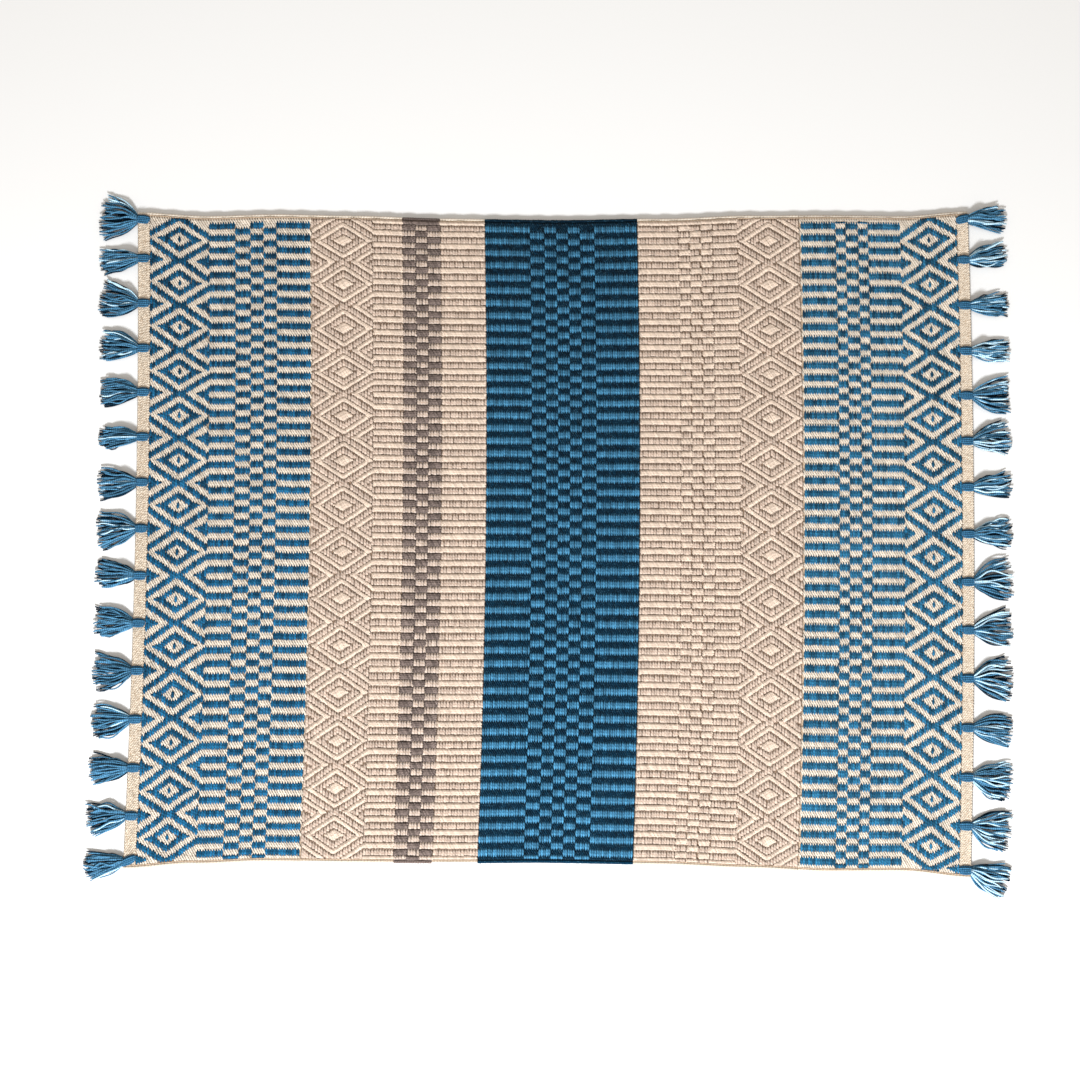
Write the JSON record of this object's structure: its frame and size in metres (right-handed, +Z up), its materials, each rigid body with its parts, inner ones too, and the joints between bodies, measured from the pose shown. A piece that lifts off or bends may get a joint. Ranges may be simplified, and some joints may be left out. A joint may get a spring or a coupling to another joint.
{
  "type": "cotton rug",
  "caption": "Flat-woven cotton rug with cross bands of bars, checks and diamonds in blue, cream and tan, and bound tassels along both ends.",
  "frame": {"origin": "on the floor under the middle of the whole rug, tassels included", "axes": "+X along the rug's length towards the right-hand tassels, +Y towards the back long edge, +Z up out of the face"},
  "size_m": [0.8766, 0.6564, 0.0074],
  "materials": {
    "woven_cotton": "weft-faced cotton weave in cream, tan, blue, navy and taupe yarns, matt",
    "tassel_yarn": "loosely plied steel-blue cotton yarn, matt"
  },
  "bodies": {
    "root": {"rug_cloth": "woven_cotton", "tassel_left_01": "tassel_yarn", "tassel_left_02": "tassel_yarn", "tassel_left_03": "tassel_yarn", "tassel_left_04": "tassel_yarn", "tassel_left_05": "tassel_yarn", "tassel_left_06": "tassel_yarn", "tassel_left_07": "tassel_yarn", "tassel_left_08": "tassel_yarn", "tassel_left_09": "tassel_yarn", "tassel_left_10": "tassel_yarn", "tassel_left_11": "tassel_yarn", "tassel_left_12": "tassel_yarn", "tassel_left_13": "tassel_yarn", "tassel_left_14": "tassel_yarn", "tassel_left_15": "tassel_yarn", "tassel_right_01": "tassel_yarn", "tassel_right_02": "tassel_yarn", "tassel_right_03": "tassel_yarn", "tassel_right_04": "tassel_yarn", "tassel_right_05": "tassel_yarn", "tassel_right_06": "tassel_yarn", "tassel_right_07": "tassel_yarn", "tassel_right_08": "tassel_yarn", "tassel_right_09": "tassel_yarn", "tassel_right_10": "tassel_yarn", "tassel_right_11": "tassel_yarn", "tassel_right_12": "tassel_yarn", "tassel_right_13": "tassel_yarn", "tassel_right_14": "tassel_yarn", "tassel_right_15": "tassel_yarn"}
  },
  "joints": []
}
